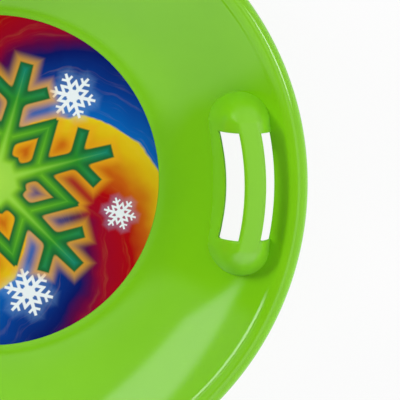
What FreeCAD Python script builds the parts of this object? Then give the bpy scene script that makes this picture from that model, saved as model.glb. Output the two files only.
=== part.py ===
"""Saucer sled: a round moulded dish with a rolled rim, two hand holds and a floor label.

Millimetres, +Z up. The origin is on the ground under the middle of the dish,
and the two hand holds lie on the X axis.
"""
import os

import FreeCAD, Part
from math import cos, radians, sin, tan

V = FreeCAD.Vector
UP = V(0, 0, 1)
ORIGIN = V(0, 0, 0)

# Dish: overall sizes and the slopes and bends of its upper skin, from the floor outwards
rim_diameter = 590.0
rim_height = 78.5
dish_wall = 3.0
heel_radius = 65.0
heel_slope = 35.0
neck_radius = 40.0
neck_slope = 43.0
rim_roll_radius = 11.2
rim_slope = 50.0
rim_skirt = 6.0

# Label: a printed film in a recess of the floor
label_thickness = 0.4
label_margin = 5.5
label_gap = 0.3

# Hand holds: place and size of the crown that the grip bar runs along
handle_inset = 52.1
handle_rise = 6.5
crown_width = 34.4
crown_length = 126.0
crown_round = 11.0
handle_wall = 3.0
inner_draft = 10.3
outer_draft = 12.0
end_draft = 23.0
flange_width = 2.2
flange_thickness = 0.5

# Grip bar: an upturned channel between the two windows
bar_width = 20.3
bar_depth = 6.0
bar_wall = 3.0
bar_round = 3.6

# Windows beside the grip bar
window_length = 102.0
inner_window = 13.3
outer_window = 10.7
lip_round = 0.8

# Worked out from the sizes above
rim_radius = rim_diameter / 2
handle_radius = rim_radius - handle_inset
handle_top = rim_height + handle_rise
below_ground = -rim_height
touching = 0.01


def turn(radius, slope):
    """Step along a bend's radius to the point of the skin that has this slope."""
    return V(radius * sin(radians(slope)), 0, -radius * cos(radians(slope)))


# The wall is one long bend that takes up the height left by the others
wall_rise = (
    rim_height
    - dish_wall
    - heel_radius * (1 - cos(radians(heel_slope)))
    - neck_radius * (cos(radians(neck_slope)) - cos(radians(rim_slope)))
    - rim_roll_radius * (1 - cos(radians(rim_slope)))
)
wall_radius = wall_rise / (cos(radians(heel_slope)) - cos(radians(neck_slope)))

# Centres of the bends, from the rim inwards
rim_centre = V(rim_radius - rim_roll_radius, 0, rim_height - rim_roll_radius)
neck_centre = rim_centre - turn(neck_radius + rim_roll_radius, rim_slope)
wall_centre = neck_centre - turn(wall_radius - neck_radius, neck_slope)
heel_centre = wall_centre - turn(heel_radius - wall_radius, heel_slope)
floor_radius = heel_centre.x
label_radius = floor_radius - label_margin


def bend(centre, radius, slope_a, slope_b):
    """Arc of the skin between two slopes."""
    stops = (slope_a, (slope_a + slope_b) / 2, slope_b)
    return Part.Arc(*[centre + turn(radius, slope) for slope in stops]).toShape()


def line(a, b):
    return Part.LineSegment(a, b).toShape()


def skin(depth):
    """Edges of the dish's section at a depth under its upper skin, from the axis to the crest of the rim."""
    floor_end = heel_centre + turn(heel_radius + depth, 0)
    return [
        line(V(0, 0, floor_end.z), floor_end),
        bend(heel_centre, heel_radius + depth, 0, heel_slope),
        bend(wall_centre, wall_radius + depth, heel_slope, neck_slope),
        bend(neck_centre, neck_radius + depth, neck_slope, rim_slope),
        bend(rim_centre, rim_roll_radius - depth, 180 + rim_slope, 180),
    ]


def rim_edge(depth):
    """Edges from the crest of the rim over its outside and down its skirt."""
    radius = rim_roll_radius - depth
    side = rim_centre + V(radius, 0, 0)
    return [bend(rim_centre, radius, 180, 90), line(side, side - UP * rim_skirt)]


def spun(edges):
    """Solid of revolution about the dish's axis."""
    wire = Part.Wire(Part.__sortEdges__(edges))
    return Part.Face(wire).revolve(ORIGIN, UP, 360)


def under_skin(depth):
    """Everything under the skin at this depth, and under the height of its crest further out."""
    crest = rim_centre + UP * (rim_roll_radius - depth)
    start = V(0, 0, dish_wall - depth)
    side = V(rim_diameter, 0, crest.z)
    corner = V(rim_diameter, 0, below_ground)
    bottom = V(0, 0, below_ground)
    outline = [line(crest, side), line(side, corner), line(corner, bottom), line(bottom, start)]
    return spun(skin(depth) + outline)


def dish_shell():
    """The dish as one wall of even thickness, with a round edge under its rim."""
    edge_middle = rim_centre + V(rim_roll_radius - dish_wall / 2, 0, -rim_skirt - dish_wall / 2)
    edge_outer = rim_centre + V(rim_roll_radius, 0, -rim_skirt)
    edge_inner = edge_outer - V(dish_wall, 0, 0)
    edge = Part.Arc(edge_outer, edge_middle, edge_inner).toShape()
    axis = line(ORIGIN, V(0, 0, dish_wall))
    return spun(skin(0) + rim_edge(0) + [edge] + rim_edge(dish_wall) + skin(dish_wall) + [axis])


def at(radius, angle, height):
    """Point at a distance from the dish's axis, turned from the X axis by an angle in degrees."""
    return V(radius * cos(radians(angle)), radius * sin(radians(angle)), height)


def crown_outline(height, inset, grown):
    """Bowed outline of a hand hold at one height, moved in by a wall or out by a flange."""
    fall = handle_top - height
    inner_step = inset / cos(radians(inner_draft)) - grown
    outer_step = inset / cos(radians(outer_draft)) - grown
    inner = handle_radius - crown_width / 2 - fall * tan(radians(inner_draft)) + inner_step
    outer = handle_radius + crown_width / 2 + fall * tan(radians(outer_draft)) - outer_step
    reach = (crown_length - crown_width) / 2 + fall * tan(radians(end_draft))
    span = reach / radians(1) / handle_radius
    middle, half = (inner + outer) / 2, (outer - inner) / 2
    end_tip = at(middle, span, height) + at(half, span + 90, 0)
    start_tip = at(middle, -span, height) + at(half, -span - 90, 0)
    return Part.Wire([
        Part.Arc(at(outer, -span, height), at(outer, 0, height), at(outer, span, height)).toShape(),
        Part.Arc(at(outer, span, height), end_tip, at(inner, span, height)).toShape(),
        Part.Arc(at(inner, span, height), at(inner, 0, height), at(inner, -span, height)).toShape(),
        Part.Arc(at(inner, -span, height), start_tip, at(outer, -span, height)).toShape(),
    ])


def crown(inset=0.0, grown=0.0):
    """Solid of a hand hold from the ground to its rounded top, moved in by a wall or out by a flange."""
    top = handle_top - inset
    body = Part.makeLoft([crown_outline(0, inset, grown), crown_outline(top, inset, grown)], True, True)
    top_edges = [e for e in body.Edges if e.BoundBox.ZMin > top - touching]
    return body.makeFillet(crown_round - inset, top_edges)


def sector(inner, outer, length):
    """Upright block between two radii, cut off square at both ends, through the whole height."""
    height = rim_height - 2 * below_ground
    ring = Part.makeCylinder(outer, height, V(0, 0, below_ground))
    ring = ring.cut(Part.makeCylinder(inner, height, V(0, 0, below_ground)))
    return ring.common(Part.makeBox(outer, length, height, V(0, -length / 2, below_ground)))


def grip_bar():
    """Channel with round shoulders and round lower edges, swept round the dish's axis."""
    inner = handle_radius - bar_width / 2
    outer = handle_radius + bar_width / 2
    low = handle_top - bar_depth + bar_wall / 2
    shoulder = handle_top - bar_round
    under = handle_top - bar_wall
    nook = max(bar_round - bar_wall, bar_wall / 3)
    slant = cos(radians(45))

    def p(radius, height):
        return V(radius, 0, height)

    def corner(radius, height, size, side):
        """Quarter arc about a point, from its side to its top."""
        middle = p(radius + side * size * slant, height + size * slant)
        return Part.Arc(p(radius + side * size, height), middle, p(radius, height + size)).toShape()

    def foot(radius, side):
        """Half round along the lower edge of one wall of the channel."""
        far = radius + side * bar_wall
        return Part.Arc(p(radius, low), p((radius + far) / 2, low - bar_wall / 2), p(far, low)).toShape()

    edges = [line(p(inner + bar_round, handle_top), p(outer - bar_round, handle_top))]
    edges += [line(p(inner + bar_wall + nook, under), p(outer - bar_wall - nook, under))]
    for radius, side in ((inner, 1), (outer, -1)):
        edges += [
            corner(radius + side * bar_round, shoulder, bar_round, -side),
            line(p(radius, shoulder), p(radius, low)),
            foot(radius, side),
            line(p(radius + side * bar_wall, low), p(radius + side * bar_wall, under - nook)),
            corner(radius + side * (bar_wall + nook), under - nook, nook, -side),
        ]
    section = Part.Face(Part.Wire(Part.__sortEdges__(edges)))
    reach = crown_length / 2 / radians(1) / handle_radius
    section.rotate(ORIGIN, UP, -reach)
    return section.revolve(ORIGIN, UP, 2 * reach)


window_inner = handle_radius - bar_width / 2 - inner_window
window_outer = handle_radius + bar_width / 2 + outer_window
windows = sector(window_inner, window_outer, window_length)
crown_outside = crown()
crown_inside = crown(inset=handle_wall)


def lip_cut():
    """Space beside the inner collar that rounds its lip, where its slope meets the upright window."""
    slope = radians(inner_draft)
    ridge = handle_top - (handle_radius - crown_width / 2 - window_inner) / tan(slope)
    centre = V(window_inner - lip_round, 0, ridge - lip_round / tan(slope / 2))
    off_slope = V(-cos(slope), 0, sin(slope))
    on_window = centre + V(lip_round, 0, 0)
    on_top = centre + V(sin(slope / 2), 0, cos(slope / 2)) * lip_round
    on_slope = centre + off_slope * lip_round
    clear = on_slope + off_slope * lip_round
    corners = [on_slope, clear, V(clear.x, 0, handle_top), V(handle_radius, 0, handle_top)]
    corners += [V(handle_radius, 0, centre.z), on_window]
    edges = [line(a, b) for a, b in zip(corners, corners[1:])]
    edges.append(Part.Arc(on_window, on_top, on_slope).toShape())
    return spun(edges).common(sector(floor_radius, rim_radius, window_length))


def handle():
    """Hand hold on the +X side: domed ends, inner collar and seat flange, with the grip bar across."""
    flange = crown(grown=flange_width).common(under_skin(-flange_thickness))
    shell = crown_outside.fuse(flange).cut(under_skin(0)).cut(crown_inside)
    outer_side = sector(handle_radius, rim_radius, window_length)
    ends = shell.cut(windows).cut(outer_side).cut(lip_cut())
    bar = grip_bar().common(crown_outside)
    return ends.fuse(bar).removeSplitter()


def half_turn(shape):
    turned = shape.copy()
    turned.rotate(ORIGIN, UP, 180)
    return turned


def dish():
    """Shell with an aperture under each hand hold and the recess for the label."""
    recess_floor = dish_wall - label_thickness
    body = dish_shell()
    body = body.cut(Part.makeCylinder(label_radius + label_gap, label_thickness, V(0, 0, recess_floor)))
    for opening in (crown_inside, windows):
        body = body.cut(opening).cut(half_turn(opening))
    return body.removeSplitter()


def label():
    return Part.makeCylinder(label_radius, label_thickness, V(0, 0, dish_wall - label_thickness))


def main():
    right_handle = handle()
    pieces = {
        "dish": dish(),
        "right_handle": right_handle,
        "left_handle": half_turn(right_handle),
        "label": label(),
    }
    os.makedirs("parts", exist_ok=True)
    for name, piece in pieces.items():
        solid = piece.Solids[0] if len(piece.Solids) == 1 else piece
        solid.exportStep("parts/" + name + ".step")
        print(name, len(piece.Solids), "solid", piece.isValid(), round(piece.Volume), "mm3", piece.BoundBox)
    print("floor radius", round(floor_radius, 2), "wall radius", round(wall_radius, 1))


main()
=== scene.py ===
"""Saucer sled: its dish and hand holds modelled in the places of their nodes, with the camera, the
studio, the lime plastic and the print of the floor label."""
from math import asin, atan2, cos, degrees, hypot, radians, sin, sqrt

import bpy
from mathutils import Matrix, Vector


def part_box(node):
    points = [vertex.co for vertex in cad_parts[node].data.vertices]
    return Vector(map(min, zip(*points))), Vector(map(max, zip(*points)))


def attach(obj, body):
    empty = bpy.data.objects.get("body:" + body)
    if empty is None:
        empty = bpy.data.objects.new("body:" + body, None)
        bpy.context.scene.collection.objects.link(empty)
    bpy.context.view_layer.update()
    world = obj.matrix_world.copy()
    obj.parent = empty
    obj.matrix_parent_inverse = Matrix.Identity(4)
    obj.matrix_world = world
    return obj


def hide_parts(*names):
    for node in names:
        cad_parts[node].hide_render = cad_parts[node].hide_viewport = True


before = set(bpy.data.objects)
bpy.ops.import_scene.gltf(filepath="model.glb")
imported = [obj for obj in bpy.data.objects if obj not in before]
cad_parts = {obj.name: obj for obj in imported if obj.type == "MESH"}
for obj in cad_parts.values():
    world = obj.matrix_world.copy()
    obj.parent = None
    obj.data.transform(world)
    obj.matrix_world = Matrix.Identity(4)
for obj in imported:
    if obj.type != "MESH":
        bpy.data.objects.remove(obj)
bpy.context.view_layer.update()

MM = 0.001                        # metres in a millimetre


# Node trees

def wire(tree, source, target):
    tree.links.new(source, target)


def math_node(tree, operation, *values, clamp=False):
    """Adds a Math node; each input is a number or another node's socket."""
    node = tree.nodes.new("ShaderNodeMath")
    node.operation = operation
    node.use_clamp = clamp
    for socket, value in zip(node.inputs, values):
        if isinstance(value, bpy.types.NodeSocket):
            wire(tree, value, socket)
        else:
            socket.default_value = value
    return node.outputs[0]


def product(tree, first, *others):
    """Multiplies values; each is a number or another node's socket."""
    for other in others:
        first = math_node(tree, "MULTIPLY", first, other)
    return first


def soft_step(tree, value, low, high):
    """0 below low, 1 above high, with a soft change between them."""
    node = tree.nodes.new("ShaderNodeMapRange")
    node.interpolation_type = "SMOOTHSTEP"
    wire(tree, value, node.inputs["Value"])
    node.inputs["From Min"].default_value = low
    node.inputs["From Max"].default_value = high
    return node.outputs["Result"]


def across(tree, direction, normal):
    """How far a direction lies on one side of a plane through the middle of the studio."""
    node = tree.nodes.new("ShaderNodeVectorMath")
    node.operation = "DOT_PRODUCT"
    wire(tree, direction, node.inputs[0])
    node.inputs[1].default_value = normal
    return node.outputs["Value"]


def blend_colour(tree, share, first, second):
    """Mixes two colours; each is a colour or another node's socket."""
    colour_inputs, colour_output = (6, 7), 2    # the Mix node's sockets for colours
    node = tree.nodes.new("ShaderNodeMix")
    node.data_type = "RGBA"
    wire(tree, share, node.inputs["Factor"])
    for number, value in zip(colour_inputs, (first, second)):
        if isinstance(value, bpy.types.NodeSocket):
            wire(tree, value, node.inputs[number])
        else:
            node.inputs[number].default_value = (*value, 1)
    return node.outputs[colour_output]


def ramp(tree, value, stops):
    """Colour ramp with stops as (position, colour)."""
    node = tree.nodes.new("ShaderNodeValToRGB")
    wire(tree, value, node.inputs["Fac"])
    while len(node.color_ramp.elements) < len(stops):
        node.color_ramp.elements.new(1.0)
    for element, (position, colour) in zip(node.color_ramp.elements, stops):
        element.position = position
        element.color = (*colour, 1)
    return node.outputs["Color"]


def noise(tree, place, scale, detail=2.0, roughness=0.5):
    node = tree.nodes.new("ShaderNodeTexNoise")
    wire(tree, place, node.inputs["Vector"])
    node.inputs["Scale"].default_value = scale
    node.inputs["Detail"].default_value = detail
    node.inputs["Roughness"].default_value = roughness
    return node.outputs["Fac"]


def moved(tree, place, location, turn, scale, kind="POINT"):
    """Moves, turns (in degrees, round Z) and scales a place."""
    node = tree.nodes.new("ShaderNodeMapping")
    node.vector_type = kind
    wire(tree, place, node.inputs["Vector"])
    node.inputs["Location"].default_value = location
    node.inputs["Rotation"].default_value = (0, 0, radians(turn))
    node.inputs["Scale"].default_value = scale
    return node.outputs["Vector"]


def polar(tree, place):
    """Distance from the Z axis and angle round it."""
    split = tree.nodes.new("ShaderNodeSeparateXYZ")
    wire(tree, place, split.inputs[0])
    x, y = split.outputs["X"], split.outputs["Y"]
    squares = math_node(tree, "MULTIPLY_ADD", y, y, product(tree, x, x))
    return math_node(tree, "SQRT", squares), math_node(tree, "ARCTAN2", y, x)


def new_group(name, outputs):
    """Empty shader group with a place as its input and numbers as its outputs."""
    group = bpy.data.node_groups.new(name, "ShaderNodeTree")
    group.interface.new_socket("Place", in_out="INPUT", socket_type="NodeSocketVector")
    for label in outputs:
        group.interface.new_socket(label, in_out="OUTPUT", socket_type="NodeSocketFloat")
    place = group.nodes.new("NodeGroupInput").outputs["Place"]
    return group, place, group.nodes.new("NodeGroupOutput").inputs


def use_group(tree, group, place):
    node = tree.nodes.new("ShaderNodeGroup")
    node.node_tree = group
    wire(tree, place, node.inputs["Place"])
    return node.outputs


# Studio and camera

def studio_world():
    """Room that is brighter in front and at the right and has a dark gap at the left, with a long
    panel, a small lamp, and a low strip that only reflections show."""
    room_level = 1.34
    gap_depth = 0.85              # share of the room's light that is missing in the gap
    matt_share = 0.65             # share of the room's light that falls on matt surfaces
    gloss_gain = 0.35             # what reflections get on top of that share
    east_loss = 0.6               # what reflections lose towards the right
    panel_strength, lamp_strength, strip_strength = 2.6, 8.0, 6.0
    up = (0.0, 0.0, 1.0)

    world = bpy.data.worlds.new("studio")
    bpy.context.scene.world = world
    world.use_nodes = True
    tree = world.node_tree
    tree.nodes.clear()
    direction = tree.nodes.new("ShaderNodeTexCoord").outputs["Generated"]
    path = tree.nodes.new("ShaderNodeLightPath")
    in_gloss = path.outputs["Is Glossy Ray"]

    def edge(normal, low, high):
        """Soft edge of a lit or dark area."""
        return soft_step(tree, across(tree, direction, normal), low, high)

    gap_front = edge((-0.195, 0.961, -0.198), -0.41, -0.29)
    gap_back = edge((-0.416, -0.909, 0.0), -0.04, 0.075)
    gap = product(tree, gap_front, gap_back)

    over = edge((0.294, -0.184, 0.938), -0.004, 0.004)
    under = edge((-0.323, 0.312, -0.894), -0.004, 0.004)
    left = edge((-0.166, 0.513, -0.842), -0.004, 0.004)
    right = edge((-0.966, -0.259, 0.0), -0.02, 0.02)
    panel = product(tree, over, under, left, right)

    lamp = edge((0.691, 0.198, 0.695), 0.990, 0.995)

    strip_height = math_node(tree, "SUBTRACT", edge(up, 0.02, 0.05), edge(up, 0.13, 0.17))
    strip_left = edge((-0.819, -0.574, 0.0), -0.05, 0.05)
    strip_right = edge((0.317, 0.948, 0.0), -0.05, 0.05)
    strip = product(tree, strip_height, strip_left, strip_right, in_gloss)

    room = math_node(tree, "ADD", across(tree, direction, (0.6, -0.48, -0.3)), room_level)
    room = product(tree, room, math_node(tree, "SUBTRACT", 1.0, product(tree, gap, gap_depth)))
    east = edge((1.0, 0.0, 0.0), 0.35, 0.65)
    gain = math_node(tree, "MULTIPLY_ADD", east, -east_loss, gloss_gain)
    light = product(tree, room, math_node(tree, "MULTIPLY_ADD", in_gloss, gain, matt_share))
    light = math_node(tree, "ADD", light, product(tree, panel, panel_strength))
    light = math_node(tree, "ADD", light, product(tree, lamp, lamp_strength))
    light = math_node(tree, "ADD", light, product(tree, strip, strip_strength))

    lit = tree.nodes.new("ShaderNodeBackground")
    wire(tree, light, lit.inputs["Strength"])
    white = tree.nodes.new("ShaderNodeBackground")
    for node in (lit, white):
        node.inputs["Color"].default_value = (1, 1, 1, 1)
    mix = tree.nodes.new("ShaderNodeMixShader")
    wire(tree, path.outputs["Is Camera Ray"], mix.inputs["Fac"])
    wire(tree, lit.outputs[0], mix.inputs[1])
    wire(tree, white.outputs[0], mix.inputs[2])
    out = tree.nodes.new("ShaderNodeOutputWorld")
    wire(tree, mix.outputs[0], out.inputs["Surface"])


def key_lamp():
    """Long soft lamp at the upper left, low over the dish, that throws the hand holds' shadow to
    the lower right. Reflections don't show it."""
    distance = 2.5
    towards = Vector((-0.772, 0.501, 0.339))
    data = bpy.data.lights.new("key", "AREA")
    data.shape = "RECTANGLE"
    data.size, data.size_y = 0.9, 0.35
    data.energy = 28.5
    lamp = bpy.data.objects.new("key", data)
    lamp.location = towards * distance
    lamp.rotation_euler = towards.to_track_quat("Z", "Y").to_euler()
    lamp.visible_glossy = False
    bpy.context.scene.collection.objects.link(lamp)


def white_floor():
    """Floor that looks white, takes a faint shadow and throws light back on the underside."""
    depth = 0.4                   # mm below the sled
    white_share = 0.9             # how much of the floor's look is plain white
    bpy.ops.object.select_all(action="DESELECT")
    bpy.ops.mesh.primitive_plane_add(size=60, location=(0, 0, -depth * MM))
    floor = bpy.context.object
    floor.name = "studio_floor"
    material = bpy.data.materials.new("floor_white")
    material.use_nodes = True
    tree = material.node_tree
    tree.nodes.clear()
    path = tree.nodes.new("ShaderNodeLightPath")
    seen = math_node(tree, "ADD", path.outputs["Is Camera Ray"], path.outputs["Is Glossy Ray"])
    seen = math_node(tree, "ADD", seen, path.outputs["Is Transmission Ray"], clamp=True)
    glow = tree.nodes.new("ShaderNodeEmission")
    glow.inputs["Strength"].default_value = 1.0
    matt = tree.nodes.new("ShaderNodeBsdfDiffuse")
    matt.inputs["Color"].default_value = (0.9, 0.9, 0.9, 1)
    mix = tree.nodes.new("ShaderNodeMixShader")
    wire(tree, product(tree, seen, white_share), mix.inputs["Fac"])
    wire(tree, matt.outputs[0], mix.inputs[1])
    wire(tree, glow.outputs[0], mix.inputs[2])
    out = tree.nodes.new("ShaderNodeOutputMaterial")
    wire(tree, mix.outputs[0], out.inputs["Surface"])
    floor.data.materials.append(material)


def overhead_camera():
    """Long lens from above, a little to the upper left, that takes in the right half of the
    dish."""
    data = bpy.data.cameras.new("overhead")
    data.sensor_width = 36.0
    data.lens = 225.1
    data.clip_end = 100.0
    camera = bpy.data.objects.new("overhead", data)
    camera.location = (-0.1125, 0.260, 2.400)
    camera.rotation_euler = (radians(-6.645), radians(-7.405), radians(0.215))
    bpy.context.scene.collection.objects.link(camera)
    bpy.context.scene.camera = camera


# Materials

def new_material(name):
    """Material with its node tree, its shader and the place on the piece."""
    material = bpy.data.materials.new(name)
    material.use_nodes = True
    tree = material.node_tree
    place = tree.nodes.new("ShaderNodeTexCoord").outputs["Object"]
    return material, tree, tree.nodes["Principled BSDF"], place


def fine_bump(tree, shader, height, strength):
    bump = tree.nodes.new("ShaderNodeBump")
    bump.inputs["Strength"].default_value = strength
    bump.inputs["Distance"].default_value = 0.2 * MM
    wire(tree, height, bump.inputs["Height"])
    wire(tree, bump.outputs["Normal"], shader.inputs["Normal"])


def surface_life():
    """What keeps a surface from being dead even: slow mottle, fine grain and thin rub marks."""
    group, place, wanted = new_group("surface_life", ("Mottle", "Grain", "Rubs"))
    wire(group, noise(group, place, scale=14.0, detail=3.0), wanted["Mottle"])
    wire(group, noise(group, place, scale=1400.0), wanted["Grain"])
    thin = (9, 420, 60)           # squeezes the noise into lines
    marks = []
    for turn, offset in ((12, 0.0), (71, 0.3), (128, 0.7)):
        strokes = moved(group, place, (offset, 0, 0), turn, thin)
        marks.append(soft_step(group, noise(group, strokes, scale=1.0, roughness=0.6), 0.66, 0.74))
    rubs = marks[0]
    for mark in marks[1:]:
        rubs = math_node(group, "MAXIMUM", rubs, mark)
    patches = soft_step(group, noise(group, place, scale=7.0), 0.42, 0.68)
    wire(group, product(group, rubs, patches), wanted["Rubs"])
    return group


def lime_plastic(life, name, roughness):
    """Moulded plastic in lime, with a faint mottle, fine grain and thin rub marks."""
    rub_paleness, rub_roughness, rub_depth = 0.03, 0.06, 0.15
    mottle_roughness = 0.03
    material, tree, shader, place = new_material(name)
    skin = use_group(tree, life, place)
    mottle, rubs = skin["Mottle"], skin["Rubs"]
    colour = ramp(tree, mottle, [(0.3, (0.219, 0.618, 0.004)), (0.7, (0.234, 0.648, 0.005))])
    colour = blend_colour(tree, product(tree, rubs, rub_paleness), colour, (0.42, 0.78, 0.12))
    wire(tree, colour, shader.inputs["Base Color"])
    rough = math_node(tree, "MULTIPLY_ADD", rubs, rub_roughness, roughness)
    rough = math_node(tree, "MULTIPLY_ADD", mottle, mottle_roughness, rough)
    wire(tree, rough, shader.inputs["Roughness"])
    height = math_node(tree, "MULTIPLY_ADD", rubs, -rub_depth, skin["Grain"])
    fine_bump(tree, shader, height, strength=0.03)
    return material


def grip_plastic(life):
    """The lime plastic as the hand holds have it: more satin, with a little sheen."""
    material = lime_plastic(life, "lime_grip_plastic", roughness=0.32)
    satin = material.node_tree.nodes["Principled BSDF"].inputs
    satin["Specular IOR Level"].default_value = 0.58
    satin["Sheen Weight"].default_value = 0.16
    satin["Sheen Tint"].default_value = (0.85, 1.0, 0.75, 1)
    satin["Sheen Roughness"].default_value = 0.4
    return material


def snow_crystal():
    """Distance from the outline of a six-armed snow crystal whose arms are one unit long."""
    arm_step = radians(60)
    arm_half_width, arm_taper = 0.095, 0.04
    twigs = ((0.36, 0.44, 0.062), (0.68, 0.27, 0.05))    # start on the arm, length, half width
    twig_cos, twig_sin = 0.5, 0.866    # twigs leave the arm at 60 degrees
    hub_size = 0.24
    melt = 0.05                   # how softly the shapes run together

    group, place, wanted = new_group("snow_crystal", ("Distance", "Reach"))
    reach, angle = polar(group, place)
    arm = math_node(group, "ROUND", math_node(group, "DIVIDE", angle, arm_step))
    angle = math_node(group, "MULTIPLY_ADD", arm, -arm_step, angle)
    along = product(group, reach, math_node(group, "COSINE", angle))
    aside = product(group, reach, math_node(group, "SINE", angle))
    aside = math_node(group, "ABSOLUTE", aside)

    half_width = math_node(group, "MULTIPLY_ADD", along, -arm_taper, arm_half_width)
    shape = math_node(group, "SUBTRACT", aside, half_width)
    shape = math_node(group, "MAXIMUM", shape, math_node(group, "SUBTRACT", along, 1.0))
    for start, length, width in twigs:
        step = math_node(group, "SUBTRACT", along, start)
        out = math_node(group, "MULTIPLY_ADD", aside, twig_sin, product(group, step, twig_cos))
        off = math_node(group, "MULTIPLY_ADD", aside, -twig_cos, product(group, step, twig_sin))
        off = math_node(group, "SUBTRACT", math_node(group, "ABSOLUTE", off), width)
        twig = math_node(group, "MAXIMUM", off, math_node(group, "SUBTRACT", out, length))
        twig = math_node(group, "MAXIMUM", twig, product(group, out, -1.0))
        shape = math_node(group, "SMOOTH_MIN", shape, twig, melt)
    hub = math_node(group, "SUBTRACT", along, hub_size)
    wire(group, math_node(group, "SMOOTH_MIN", shape, hub, melt), wanted["Distance"])
    wire(group, reach, wanted["Reach"])
    return group


def pinwheel_print(tree, place, radius):
    """Three curved blades that run through the label's colours, with brush streaks along them."""
    blades, twist = 3.0, 0.8
    sway_share, sway_start = 0.24, 0.06
    streaks_across, streaks_along, streak_share = 26.0, 3.0, 0.10

    reach, angle = polar(tree, place)
    reach = math_node(tree, "DIVIDE", reach, radius)
    turn = math_node(tree, "DIVIDE", angle, radians(360))
    waves = noise(tree, place, scale=16.0, detail=3.0)
    sway = math_node(tree, "MULTIPLY_ADD", waves, sway_share, sway_start)
    blade = math_node(tree, "MULTIPLY_ADD", turn, blades, sway)
    blade = math_node(tree, "FRACT", math_node(tree, "MULTIPLY_ADD", reach, twist, blade))
    colour = ramp(tree, blade, [
        (0.00, (0.000, 0.130, 0.520)),
        (0.20, (0.000, 0.045, 0.300)),
        (0.40, (0.000, 0.006, 0.130)),
        (0.47, (0.100, 0.000, 0.060)),
        (0.54, (0.340, 0.000, 0.020)),
        (0.70, (0.450, 0.000, 0.002)),
        (0.80, (0.600, 0.120, 0.003)),
        (0.92, (0.780, 0.500, 0.004)),
        (0.985, (0.820, 0.600, 0.010)),
        (1.00, (0.000, 0.130, 0.520)),
    ])
    strokes = tree.nodes.new("ShaderNodeCombineXYZ")
    wire(tree, product(tree, blade, streaks_across), strokes.inputs["X"])
    wire(tree, product(tree, reach, streaks_along), strokes.inputs["Y"])
    streak = noise(tree, strokes.outputs["Vector"], scale=1.0, detail=4.0, roughness=0.6)
    bright = product(tree, soft_step(tree, streak, 0.52, 0.80), streak_share)
    return blend_colour(tree, bright, colour, (0.95, 0.55, 0.10))


def label_print(life):
    """Satin printed film: a pinwheel of the label's colours, one large green snow crystal and six
    small pale ones."""
    small_crystals = (            # angle, distance from the middle, size (both in label radii)
        (47, 0.70, 0.14), (106, 0.78, 0.10), (166, 0.72, 0.13),
        (225, 0.78, 0.11), (287, 0.71, 0.15), (345, 0.79, 0.10),
    )
    large_angle, large_size = 14, 0.74
    small_halo, large_halo, crest_share = 0.18, 0.75, 0.35
    roughness, mottle_roughness = 0.28, 0.10

    material, tree, shader, place = new_material("label_print_film")
    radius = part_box("label")[1][0]
    colour = pinwheel_print(tree, place, radius)
    crystal = snow_crystal()

    def crystal_at(spot, angle, size):
        """Depth inside the outline of a crystal, and distance from its middle."""
        own_place = moved(tree, place, spot, angle, (radius * size,) * 3, "TEXTURE")
        drawn = use_group(tree, crystal, own_place)
        return product(tree, drawn["Distance"], -1.0), drawn["Reach"]

    for angle, out, size in small_crystals:
        spot = (radius * out * cos(radians(angle)), radius * out * sin(radians(angle)), 0)
        inwards, _ = crystal_at(spot, angle, size)
        halo = product(tree, soft_step(tree, inwards, -0.35, 0.0), small_halo)
        colour = blend_colour(tree, halo, colour, (0.30, 0.60, 1.0))
        body = soft_step(tree, inwards, -0.02, 0.02)
        colour = blend_colour(tree, body, colour, (0.90, 0.95, 1.0))

    inwards, reach = crystal_at((0, 0, 0), large_angle, large_size)
    halo = product(tree, soft_step(tree, inwards, -0.09, 0.0), large_halo)
    colour = blend_colour(tree, halo, colour, (0.85, 0.42, 0.01))
    green = ramp(tree, reach, [
        (0.0, (0.38, 0.72, 0.04)),
        (0.35, (0.15, 0.50, 0.01)),
        (0.70, (0.03, 0.32, 0.02)),
        (1.0, (0.00, 0.26, 0.22)),
    ])
    ridge = soft_step(tree, inwards, 0.0, 0.075)
    green = blend_colour(tree, ridge, (0.01, 0.13, 0.03), green)
    crest = product(tree, soft_step(tree, inwards, 0.05, 0.09), crest_share)
    green = blend_colour(tree, crest, green, (0.50, 0.85, 0.15))
    colour = blend_colour(tree, soft_step(tree, inwards, -0.008, 0.008), colour, green)
    wire(tree, colour, shader.inputs["Base Color"])

    skin = use_group(tree, life, place)
    rough = math_node(tree, "MULTIPLY_ADD", skin["Mottle"], mottle_roughness, roughness)
    wire(tree, rough, shader.inputs["Roughness"])
    shader.inputs["Specular IOR Level"].default_value = 0.06
    fine_bump(tree, shader, skin["Grain"], strength=0.04)
    return material


# Sizes in mm: distances from the sled's axis, heights over the ground and lengths along the grip.
# A bend of the dish's section is given as (distance, height) of its middle, and its radius.

RECESS, RECESS_EDGE = 2.6, 159.97    # the label's recess
FLOOR = 3.0
FLOOR_ROW, FLOOR_END = 80.0, 162.0   # rows of the floor's mesh
HEEL_MIDDLE, HEEL_RADIUS = (165.17, 68.0), 65.0
HEEL_END = 202.45
WALL_MIDDLE, WALL_RADIUS = (-164.69, 539.1), 640.1
WALL_THICKNESS = 3.0
NECK_MIDDLE, NECK_RADIUS = (244.58, 100.21), 40.0
ROLL_MIDDLE, ROLL_RADIUS = (283.8, 67.3), 11.2
WALL_START, NECK_START, ROLL_START, ROLL_END = 35.0, 43.0, 50.0, -90.0    # slopes in degrees
SKIRT_OUTER, SKIRT_INNER, SKIRT_ROW = 295.0, 292.0, 64.5
EDGE_MIDDLE, EDGE_RADIUS = (293.5, 62.8), 1.5

BAR_INNER, BAR_OUTER = 232.3, 253.0    # edges of the grip bar
LIP_INNER = 217.2                 # inner window's edge at the collar
RIM_SIDE = 263.4                  # outer window's edge in the dish wall
WINDOW_END = 51.0                 # half the windows' length
APERTURE_REACHES = (214.0, 222.0, 250.0, RIM_SIDE)    # bands of the aperture under a hand hold
APERTURE_TURNS = (14.5, 17.0, 12.0)    # half of each band's length, in degrees

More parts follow.
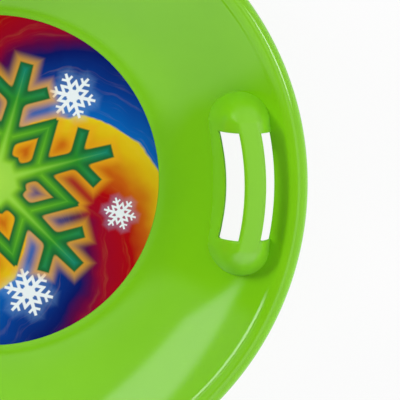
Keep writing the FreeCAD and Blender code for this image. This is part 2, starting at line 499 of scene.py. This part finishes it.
HOLD_TOP = 85.0
HOLD_HALF_WIDTH = 26.45           # half the hump's width at its foot
HOLD_FLARE = 0.8                  # how much wider the foot is towards the rim
HOLD_END = 59.35                  # where the round ends begin
HOLD_END_REACH = 29.2             # length of each round end
HOLD_MIDDLE = 231.9               # middle of the round ends
RIDGE, RIDGE_BOW = 237.2, 2.2     # the hump's middle line, and how far out its ends are bowed
FLAT_INNER, FLAT_OUTER, FLAT_END = 235.0, 250.0, 60.0    # flat top along the grip bar
FLAT_LEAN = 0.045                 # fall of the flat top towards the rim
INNER_SLOPE, END_SLOPE = 1.15, 0.8    # fall of the hump's roof to the inside and to its ends
ROOF_ROUND = 3.5                  # how softly the roof begins to fall
ROOF_LEAST = 2.0                  # least height of the roof over the foot
FOOT_STEEPNESS = 6.0              # the higher, the more upright the hump is just over its foot
FOOT_DEPTH = 3.2                  # how far the foot may sink into the dish wall
SKIN_DEPTH, TRIM_DEPTH = 2.4, 1.9    # how deep the hump's skin is drawn, and where it is cut off
EDGE_ROUND = 2.2                  # rounding of the window edges
EDGE_ROWS = (0.0, 0.25, 0.8, 1.5, 2.3)    # rows of the skin next to such an edge
EDGE_BAND = EDGE_ROWS[-1]
EDGE_TURN_DOWN = 1.4              # how far the windows' edges are turned down
HOLD_WALL = 2.4                   # wall thickness of a hand hold
SKIN_INNER, SKIN_OUTER, SKIN_END = 206.0, 272.0, 93.0    # outline of the skin before it is cut
WINDOW_OUTER = 264.0              # the windows' edges lie inside this distance
PAST_HOLD = 290.0                 # further out than any part of a hand hold
CLOSE = 0.01                      # what still counts as the same place


# Dish

def on_bend(middle, radius, slope):
    """Point of a bend where the skin has this slope."""
    turn = radians(slope)
    return middle[0] + radius * sin(turn), middle[1] - radius * cos(turn)


def bend(middle, radius, start, end, steps):
    """Points along a bend of the section, from one slope to another."""
    return [on_bend(middle, radius, start + (end - start) * i / steps) for i in range(steps + 1)]


def evenly(first, last, step):
    """Values from first up to, but without, last."""
    count = max(1, round((last - first) / step))
    return [first + (last - first) * i / count for i in range(count)]


def wall_slope(reach):
    """Slope of the wall's upper skin at this distance from the axis."""
    return degrees(asin((reach - WALL_MIDDLE[0]) / WALL_RADIUS))


def dish_height(reach):
    """Height of the upper skin, on the heel or the wall, at this distance from the axis."""
    middle, radius = (WALL_MIDDLE, WALL_RADIUS) if reach >= HEEL_END else (HEEL_MIDDLE, HEEL_RADIUS)
    return middle[1] - sqrt(radius ** 2 - (reach - middle[0]) ** 2)


def dish_section():
    """Closed section of the dish: upper skin outwards, round the rim's edge, under skin back to
    the axis."""
    stops = [WALL_START, *(wall_slope(r) for r in APERTURE_REACHES), NECK_START]
    slopes = []
    for low, high in zip(stops, stops[1:]):
        slopes += evenly(low, high, step=0.4)
    slopes.append(NECK_START)

    def skin(offset):
        points = bend(HEEL_MIDDLE, HEEL_RADIUS + offset, 0, WALL_START, steps=8)[:-1]
        points += [on_bend(WALL_MIDDLE, WALL_RADIUS + offset, slope) for slope in slopes]
        points += bend(NECK_MIDDLE, NECK_RADIUS + offset, NECK_START, ROLL_START, steps=3)[1:]
        points += bend(ROLL_MIDDLE, offset - ROLL_RADIUS, ROLL_START, ROLL_END, steps=22)[1:]
        return points

    recess = [(0, RECESS), (FLOOR_ROW, RECESS), (RECESS_EDGE, RECESS), (RECESS_EDGE, FLOOR)]
    edge = bend(EDGE_MIDDLE, EDGE_RADIUS, 90, -90, steps=8)
    edge = [(SKIRT_OUTER, SKIRT_ROW), *edge, (SKIRT_INNER, SKIRT_ROW)]
    under_floor = [(FLOOR_END, 0), (FLOOR_ROW, 0), (0, 0)]
    return recess + skin(0.0) + edge + skin(WALL_THICKNESS)[::-1] + under_floor


def pick_faces(piece, wanted):
    """In edit mode: selects the faces whose middle passes the test."""
    bpy.ops.mesh.select_mode(type="FACE")
    bpy.ops.mesh.select_all(action="DESELECT")
    bpy.ops.object.mode_set(mode="OBJECT")
    for face in piece.data.polygons:
        face.select = wanted(face.center)
    bpy.ops.object.mode_set(mode="EDIT")


def pick_open_edges():
    """In edit mode: selects the edges that have a face on one side only."""
    bpy.ops.mesh.select_mode(type="EDGE")
    bpy.ops.mesh.select_all(action="DESELECT")
    bpy.ops.mesh.select_non_manifold(
        extend=False, use_wire=False, use_multi_face=False,
        use_non_contiguous=False, use_verts=False,
    )


def start_at(point, name):
    """One vertex, from which a section is drawn. Leaves the piece in edit mode."""
    bpy.ops.object.select_all(action="DESELECT")
    bpy.ops.mesh.primitive_plane_add(size=0.01, location=point)
    piece = bpy.context.object
    piece.name = name
    bpy.ops.object.transform_apply(location=True, rotation=False, scale=False)
    bpy.ops.object.mode_set(mode="EDIT")
    bpy.ops.mesh.select_all(action="SELECT")
    bpy.ops.mesh.merge(type="CENTER")
    return piece


def moulded_dish():
    """Dish: its section drawn from the axis to the rim and back, spun round, with an aperture under
    each hand hold."""
    section = [(reach * MM, 0.0, height * MM) for reach, height in dish_section()]
    piece = start_at(section[0], "moulded_dish")
    for here, there in zip(section, section[1:]):
        step = [b - a for a, b in zip(here, there)]
        bpy.ops.mesh.extrude_region_move(TRANSFORM_OT_translate={"value": step})
    bpy.ops.mesh.select_all(action="SELECT")
    bpy.ops.mesh.spin(steps=360, angle=radians(360), center=(0, 0, 0), axis=(0, 0, 1))
    bpy.ops.mesh.select_all(action="SELECT")
    bpy.ops.mesh.remove_doubles(threshold=CLOSE * MM)
    bpy.ops.mesh.normals_make_consistent(inside=False)

    bands = [wall_slope(r) for r in APERTURE_REACHES]

    def in_aperture(middle, side):
        x, y, height = middle.x * side / MM, abs(middle.y) / MM, middle.z / MM
        outwards, down = hypot(x, y) - WALL_MIDDLE[0], WALL_MIDDLE[1] - height
        depth = hypot(outwards, down) - WALL_RADIUS
        on_wall = abs(depth - WALL_THICKNESS / 2) < WALL_THICKNESS
        turn, slope = degrees(atan2(y, x)), degrees(atan2(outwards, down))
        return on_wall and any(
            turn < half_length and low < slope < high
            for half_length, low, high in zip(APERTURE_TURNS, bands, bands[1:])
        )

    for side in (1, -1):
        pick_faces(piece, lambda middle: in_aperture(middle, side))
        bpy.ops.mesh.delete(type="FACE")
        pick_open_edges()
        bpy.ops.mesh.bridge_edge_loops()
    bpy.ops.mesh.select_all(action="SELECT")
    bpy.ops.mesh.normals_make_consistent(inside=False)
    bpy.ops.object.mode_set(mode="OBJECT")
    bpy.ops.object.shade_smooth_by_angle(angle=radians(32))
    return piece


# Hand holds

def hold_height(reach, along):
    """Height of the hump: nearly flat along the grip bar, and falling ever steeper to its foot on
    the dish wall."""
    beyond = max(abs(along) - HOLD_END, 0.0) / HOLD_END_REACH
    spine = HOLD_MIDDLE
    if abs(along) < HOLD_END:
        spine = sqrt((RIDGE + RIDGE_BOW * (along / HOLD_END) ** 2) ** 2 - along ** 2)
    aside = (sqrt(reach ** 2 - along ** 2) - spine) / HOLD_HALF_WIDTH
    out = hypot(aside, beyond)
    if out < 1e-6:
        return HOLD_TOP
    facing = aside / out
    foot_x = spine + (HOLD_HALF_WIDTH + HOLD_FLARE * max(facing, 0)) * facing
    foot_y = min(abs(along), HOLD_END) + HOLD_END_REACH * sqrt(max(0.0, 1 - facing ** 2))
    foot = dish_height(hypot(foot_x, foot_y))
    off_flat = hypot(
        max(FLAT_INNER - reach, reach - FLAT_OUTER, 0.0), max(abs(along) - FLAT_END, 0.0)
    )
    fall = END_SLOPE + (INNER_SLOPE - END_SLOPE) * min(facing, 0.0) ** 2
    lean = FLAT_LEAN * max(0.0, min(reach, FLAT_OUTER) - FLAT_INNER)
    roof = HOLD_TOP - lean - sqrt((fall * off_flat) ** 2 + ROOF_ROUND ** 2) + ROOF_ROUND
    roof = max(roof, foot + ROOF_LEAST)
    return foot + (roof - foot) * (1 - out ** FOOT_STEEPNESS)


def edge_drop(reach, along):
    """How far a rounded window edge has come down at this place."""
    drop = 0.0
    for low, high in ((LIP_INNER, BAR_INNER), (BAR_OUTER, PAST_HOLD)):
        off = hypot(max(low - reach, reach - high, 0.0), max(abs(along) - WINDOW_END, 0.0))
        if off < EDGE_ROUND:
            drop = max(drop, EDGE_ROUND - sqrt(EDGE_ROUND ** 2 - (EDGE_ROUND - off) ** 2))
    return drop


def skin_rows():
    """Where the rows of the hump's skin lie: from the axis, and along the grip."""
    rows_before = EDGE_ROWS[::-1]
    reaches = evenly(SKIN_INNER, LIP_INNER - EDGE_BAND, step=1.2)
    reaches += [LIP_INNER - d for d in rows_before]
    reaches += evenly(LIP_INNER, BAR_INNER, step=1.2)[1:]
    reaches += [BAR_INNER + d for d in EDGE_ROWS]
    reaches += evenly(BAR_INNER + EDGE_BAND, BAR_OUTER - EDGE_BAND, step=1.4)[1:]
    reaches += [BAR_OUTER - d for d in rows_before]
    reaches += evenly(BAR_OUTER, SKIN_OUTER, step=1.1)[1:]
    half = evenly(0.0, WINDOW_END, step=2.0)
    half += [WINDOW_END + d for d in EDGE_ROWS]
    half += evenly(WINDOW_END + EDGE_BAND, SKIN_END, step=1.1)[1:]
    return reaches, [-v for v in half[:0:-1]] + half


def hump_skin(name):
    """Skin of the hump with its two windows, cut off just under the dish's upper skin."""
    reaches, alongs = skin_rows()
    last_reach, last_along = len(reaches) - 1, len(alongs) - 1
    bpy.ops.object.select_all(action="DESELECT")
    bpy.ops.mesh.primitive_grid_add(x_subdivisions=last_reach, y_subdivisions=last_along, size=1)
    piece = bpy.context.object
    piece.name = name
    for vertex in piece.data.vertices:
        reach = reaches[round((vertex.co.x + 0.5) * last_reach)]
        along = alongs[round((vertex.co.y + 0.5) * last_along)]
        height = hold_height(reach, along) - edge_drop(reach, along)
        height = max(height, dish_height(reach) - SKIN_DEPTH)
        vertex.co = (sqrt(reach ** 2 - along ** 2) * MM, along * MM, height * MM)

    def left_out(middle):
        reach, along = hypot(middle.x, middle.y) / MM, abs(middle.y) / MM
        beside_bar = LIP_INNER < reach < BAR_INNER or reach > BAR_OUTER
        below_trim = middle.z / MM < dish_height(reach) - TRIM_DEPTH
        return below_trim or (along < WINDOW_END and beside_bar)

    bpy.ops.object.mode_set(mode="EDIT")
    pick_faces(piece, left_out)
    bpy.ops.mesh.delete(type="FACE")
    return piece


def turn_down_windows(piece):
    """In edit mode: adds a low upright wall along the windows' edges, apart from the collar's lip.
    Ends in object mode."""
    pick_open_edges()
    bpy.ops.object.mode_set(mode="OBJECT")
    spots = piece.data.vertices
    for edge in piece.data.edges:
        ends = [spots[i].co for i in edge.vertices]
        reaches = [hypot(end.x, end.y) / MM for end in ends]
        at_window = all(abs(end.y) / MM < WINDOW_END + CLOSE for end in ends)
        in_windows = all(LIP_INNER - CLOSE < reach < WINDOW_OUTER for reach in reaches)
        on_lip = max(reaches) <= LIP_INNER + CLOSE
        edge.select = edge.select and at_window and in_windows and not on_lip
    for vertex in spots:
        vertex.select = False
    bpy.ops.object.mode_set(mode="EDIT")
    down = (0, 0, -EDGE_TURN_DOWN * MM)
    bpy.ops.mesh.extrude_region_move(TRANSFORM_OT_translate={"value": down})
    bpy.ops.object.mode_set(mode="OBJECT")


def hand_hold():
    """Right hand hold: a humped skin with two windows, their edges turned down, given its wall and
    kept inside the dish wall at its foot."""
    piece = hump_skin("right_hand_hold")
    turn_down_windows(piece)
    wall = piece.modifiers.new("wall", "SOLIDIFY")
    wall.thickness = HOLD_WALL * MM
    wall.offset = -1
    bpy.ops.object.modifier_apply(modifier=wall.name)
    for vertex in piece.data.vertices:
        lowest = dish_height(hypot(vertex.co.x, vertex.co.y) / MM) - FOOT_DEPTH
        vertex.co.z = max(vertex.co.z, lowest * MM)
    bpy.ops.object.shade_smooth_by_angle(angle=radians(50))
    return piece


def opposite(piece, name):
    """Copy with its own mesh, half a turn round the sled."""
    bpy.ops.object.select_all(action="DESELECT")
    piece.select_set(True)
    bpy.context.view_layer.objects.active = piece
    bpy.ops.object.duplicate()
    copy = bpy.context.object
    copy.name = name
    bpy.ops.object.mode_set(mode="EDIT")
    bpy.ops.mesh.select_all(action="SELECT")
    bpy.ops.transform.rotate(value=radians(180), orient_axis="Z", center_override=(0, 0, 0))
    bpy.ops.object.mode_set(mode="OBJECT")
    return copy


# The whole sled

def dress(piece, finish):
    piece.data.materials.clear()
    piece.data.materials.append(finish)


def fit(piece, node, finish):
    """Puts a finished piece in the place of a node."""
    dress(piece, finish)
    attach(piece, "root")
    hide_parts(node)


bpy.context.scene.view_settings.view_transform = "Standard"
studio_world()
key_lamp()
white_floor()
overhead_camera()
life = surface_life()
lime = lime_plastic(life, "lime_moulded_plastic", roughness=0.045)
lime_grip = grip_plastic(life)
fit(moulded_dish(), "dish", lime)
right_hold = hand_hold()
left_hold = opposite(right_hold, "left_hand_hold")
fit(right_hold, "right_handle", lime_grip)
fit(left_hold, "left_handle", lime_grip)
dress(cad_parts["label"], label_print(life))

bpy.context.view_layer.update()
